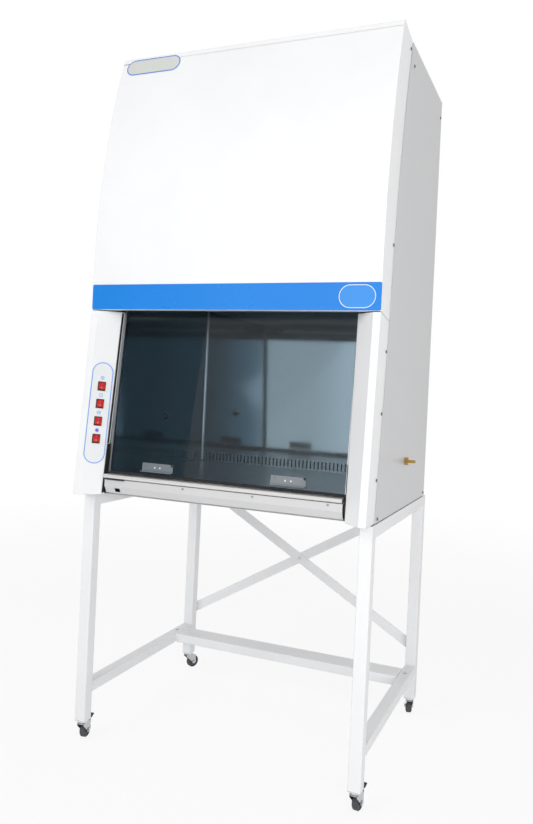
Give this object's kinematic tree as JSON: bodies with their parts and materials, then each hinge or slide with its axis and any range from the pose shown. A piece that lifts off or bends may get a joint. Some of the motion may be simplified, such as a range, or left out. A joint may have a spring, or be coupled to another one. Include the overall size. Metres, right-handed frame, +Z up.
{
  "type": "biosafety cabinet",
  "caption": "Class II biosafety cabinet on a wheeled tube stand: curved upper cover, sliding glass sash, stainless work chamber, switch panel on the left post.",
  "frame": {"origin": "on the floor, under the middle of the stand's four leg axes", "axes": "+Z up, +X to the right as seen by the user, +Y to the back"},
  "size_m": [1.0469, 0.891, 2.369],
  "materials": {
    "stand_paint": "off-white powder coat on steel tube",
    "bolt_steel": "zinc plated fasteners",
    "black_rubber": "black rubber strip",
    "leg_cap": "zinc plated caster plates",
    "cabinet_paint": "white powder coat on folded sheet steel",
    "blue_paint": "bright blue powder coat",
    "stainless": "brushed stainless steel",
    "dark_screw": "dark pan-head screws",
    "white_rivet": "white rivets",
    "panel_plate": "pale grey-blue switch plate",
    "black_plastic": "black switch bezel",
    "red_rocker": "translucent red rocker",
    "galvanised": "galvanised sheet",
    "filter_media": "filter paper in an aluminium frame",
    "rotor_steel": "galvanised fan wheel",
    "motor_black": "black motor can",
    "guide_steel": "polished guide channel",
    "sash_glass": "6 mm safety glass, slightly smoked",
    "gasket_black": "black gasket",
    "handle_grey": "stainless sash handles",
    "cast_weight": "cast weight",
    "pulley_steel": "turned pulley",
    "lamp_glass": "white lamp tube",
    "white_plastic": "white plastic",
    "inlet_black": "black appliance inlet",
    "brass": "turned brass",
    "fork_chrome": "chromed pressed steel fork",
    "wheel_rubber": "dark grey rubber tread",
    "pedal_black": "black brake pedal"
  },
  "bodies": {
    "cabinet": {"stand_legs": "stand_paint", "stand_rails": "stand_paint", "stand_rear_stretcher": "stand_paint", "stand_braces": "stand_paint", "stand_bolts": "bolt_steel", "stand_pads": "black_rubber", "leg_caps": "leg_cap", "side_panels": "cabinet_paint", "back_panel": "cabinet_paint", "bottom_panel": "cabinet_paint", "top_panel": "cabinet_paint", "front_cover": "cabinet_paint", "blue_band": "blue_paint", "front_posts": "cabinet_paint", "sill_panel": "cabinet_paint", "sill_lip": "stainless", "side_screws": "dark_screw", "cover_rivets": "white_rivet", "control_plate": "panel_plate", "switch_bezels": "black_plastic", "inner_walls": "stainless", "inner_back_wall": "stainless", "drain_pan": "stainless", "work_tray": "stainless", "diffuser": "stainless", "hepa_filters": "filter_media", "plenum_box": "galvanised", "blower_housing": "galvanised", "blower_motor": "motor_black", "exhaust_guard": "galvanised", "sash_guides": "guide_steel", "weight_guides": "galvanised", "lamp_tubes": "lamp_glass", "lamp_holders": "white_plastic", "wall_outlet": "guide_steel", "power_inlet": "inlet_black", "gas_fitting": "brass"},
    "sash": {"sash_glass": "sash_glass", "sash_trim": "gasket_black", "sash_handles": "handle_grey"},
    "counterweight_left": {"counterweight_left": "cast_weight"},
    "pulley_left": {"pulley_left": "pulley_steel"},
    "counterweight_right": {"counterweight_right": "cast_weight"},
    "pulley_right": {"pulley_right": "pulley_steel"},
    "rocker_blower": {"rocker_blower": "red_rocker"},
    "rocker_lamp": {"rocker_lamp": "red_rocker"},
    "rocker_uv": {"rocker_uv": "red_rocker"},
    "rocker_outlet": {"rocker_outlet": "red_rocker"},
    "caster_front_left": {"caster_fork_front_left": "fork_chrome"},
    "wheel_front_left": {"caster_wheel_front_left": "wheel_rubber"},
    "brake_front_left": {"caster_brake_front_left": "pedal_black"},
    "caster_front_right": {"caster_fork_front_right": "fork_chrome"},
    "wheel_front_right": {"caster_wheel_front_right": "wheel_rubber"},
    "brake_front_right": {"caster_brake_front_right": "pedal_black"},
    "caster_rear_left": {"caster_fork_rear_left": "fork_chrome"},
    "wheel_rear_left": {"caster_wheel_rear_left": "wheel_rubber"},
    "caster_rear_right": {"caster_fork_rear_right": "fork_chrome"},
    "wheel_rear_right": {"caster_wheel_rear_right": "wheel_rubber"},
    "blower_rotor": {"blower_rotor": "rotor_steel"},
    "gas_cock_lever": {"gas_cock_lever": "brass"}
  },
  "joints": [
    {"name": "sash_slide", "type": "slide", "parent": "cabinet", "child": "sash", "axis": [0, 0.1041, 0.9946], "range_m": [0, 0.5]},
    {"name": "counterweight_left_slide", "type": "slide", "parent": "cabinet", "child": "counterweight_left", "axis": [0, 0, 1], "range_m": [-0.5, 0]},
    {"name": "pulley_left_turn", "type": "hinge", "parent": "cabinet", "child": "pulley_left", "pos_m": [-0.4387, -0.262, 2.118], "axis": [0, 1, 0], "range_deg": [-850, 0]},
    {"name": "counterweight_right_slide", "type": "slide", "parent": "cabinet", "child": "counterweight_right", "axis": [0, 0, 1], "range_m": [-0.5, 0]},
    {"name": "pulley_right_turn", "type": "hinge", "parent": "cabinet", "child": "pulley_right", "pos_m": [0.4387, -0.262, 2.118], "axis": [0, 1, 0], "range_deg": [0, 850]},
    {"name": "rocker_blower_tilt", "type": "hinge", "parent": "cabinet", "child": "rocker_blower", "pos_m": [-0.44896, -0.40628, 1.21156], "axis": [0.7446, 0.6638, -0.0703], "range_deg": [0, 14]},
    {"name": "rocker_lamp_tilt", "type": "hinge", "parent": "cabinet", "child": "rocker_lamp", "pos_m": [-0.44929, -0.41213, 1.15285], "axis": [0.7446, 0.6638, -0.0703], "range_deg": [0, 14]},
    {"name": "rocker_uv_tilt", "type": "hinge", "parent": "cabinet", "child": "rocker_uv", "pos_m": [-0.44962, -0.41797, 1.09414], "axis": [0.7446, 0.6638, -0.0703], "range_deg": [0, 14]},
    {"name": "rocker_outlet_tilt", "type": "hinge", "parent": "cabinet", "child": "rocker_outlet", "pos_m": [-0.44995, -0.42382, 1.03543], "axis": [0.7446, 0.6638, -0.0703], "range_deg": [0, 14]},
    {"name": "caster_front_left_swivel", "type": "hinge", "parent": "cabinet", "child": "caster_front_left", "pos_m": [-0.4835, -0.3775, 0.06], "axis": [0, 0, 1], "continuous": true},
    {"name": "wheel_front_left_roll", "type": "hinge", "parent": "caster_front_left", "child": "wheel_front_left", "pos_m": [-0.48732, -0.35583, 0.025], "axis": [-0.9848, -0.1736, 0], "continuous": true},
    {"name": "brake_front_left_press", "type": "hinge", "parent": "caster_front_left", "child": "brake_front_left", "pos_m": [-0.48923, -0.345, 0.053], "axis": [-0.9848, -0.1736, 0], "range_deg": [0, 4.5]},
    {"name": "caster_front_right_swivel", "type": "hinge", "parent": "cabinet", "child": "caster_front_right", "pos_m": [0.4835, -0.3775, 0.06], "axis": [0, 0, 1], "continuous": true},
    {"name": "wheel_front_right_roll", "type": "hinge", "parent": "caster_front_right", "child": "wheel_front_right", "pos_m": [0.4858, -0.35562, 0.025], "axis": [-0.9945, 0.1045, 0], "continuous": true},
    {"name": "brake_front_right_press", "type": "hinge", "parent": "caster_front_right", "child": "brake_front_right", "pos_m": [0.48695, -0.34468, 0.053], "axis": [-0.9945, 0.1045, 0], "range_deg": [0, 4.5]},
    {"name": "caster_rear_left_swivel", "type": "hinge", "parent": "cabinet", "child": "caster_rear_left", "pos_m": [-0.4835, 0.3775, 0.06], "axis": [0, 0, 1], "continuous": true},
    {"name": "wheel_rear_left_roll", "type": "hinge", "parent": "caster_rear_left", "child": "wheel_rear_left", "pos_m": [-0.47317, 0.39692, 0.025], "axis": [-0.8829, 0.4695, 0], "continuous": true},
    {"name": "caster_rear_right_swivel", "type": "hinge", "parent": "cabinet", "child": "caster_rear_right", "pos_m": [0.4835, 0.3775, 0.06], "axis": [0, 0, 1], "continuous": true},
    {"name": "wheel_rear_right_roll", "type": "hinge", "parent": "caster_rear_right", "child": "wheel_rear_right", "pos_m": [0.4767, 0.39842, 0.025], "axis": [-0.9511, -0.309, 0], "continuous": true},
    {"name": "blower_spin", "type": "hinge", "parent": "cabinet", "child": "blower_rotor", "pos_m": [0, 0.03, 1.905], "axis": [1, 0, 0], "continuous": true},
    {"name": "gas_cock_turn", "type": "hinge", "parent": "cabinet", "child": "gas_cock_lever", "pos_m": [0.403, -0.003, 1.0233], "axis": [0, 0, 1], "range_deg": [-90, 0]}
  ],
  "couplings": [
    {"joint": "counterweight_left_slide", "follows": "sash_slide", "ratio": -1},
    {"joint": "counterweight_right_slide", "follows": "sash_slide", "ratio": -1},
    {"joint": "pulley_right_turn", "follows": "sash_slide", "rad_per_m": 29.412},
    {"joint": "pulley_left_turn", "follows": "sash_slide", "rad_per_m": -29.412}
  ]
}
